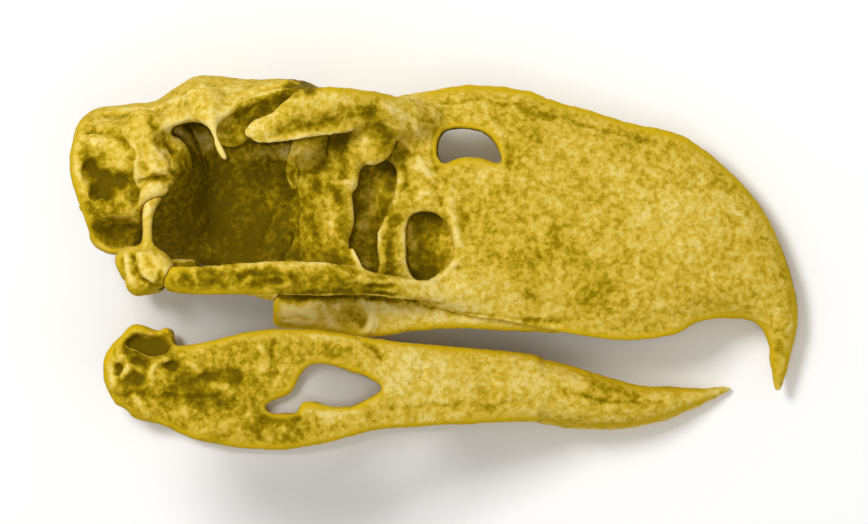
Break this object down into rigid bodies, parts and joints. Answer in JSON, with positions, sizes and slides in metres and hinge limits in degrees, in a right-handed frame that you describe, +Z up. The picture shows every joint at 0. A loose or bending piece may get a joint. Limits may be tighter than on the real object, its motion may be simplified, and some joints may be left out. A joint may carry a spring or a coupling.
{
  "type": "terror bird skull",
  "caption": "Long high skull of a big flightless bird with a hooked bill, and its lower jaw beside it, both lying on their left sides.",
  "frame": {"origin": "on the ground, under the middle of the box round skull and jaw", "axes": "+X from the back of the head to the hook of the bill, +Y from the lower jaw to the skull roof, +Z up from the ground, out of the skull's right side"},
  "size_m": [0.337, 0.1742, 0.1263],
  "materials": {
    "bone": "dry mineral-stained bone, ochre, mottled and slightly rough"
  },
  "bodies": {
    "root": {"cranium": "bone", "upper_bill": "bone", "septum": "bone", "mandible_tip": "bone", "ectethmoid_left": "bone", "ectethmoid_right": "bone", "lacrimal_left": "bone", "lacrimal_right": "bone", "quadrate_left": "bone", "quadrate_right": "bone", "jugal_bar_left": "bone", "jugal_bar_right": "bone", "palatine_left": "bone", "palatine_right": "bone", "pterygoid_left": "bone", "pterygoid_right": "bone", "dentary_left": "bone", "dentary_right": "bone", "surangular_left": "bone", "surangular_right": "bone", "angular_left": "bone", "angular_right": "bone", "articular_left": "bone", "articular_right": "bone"}
  },
  "joints": []
}
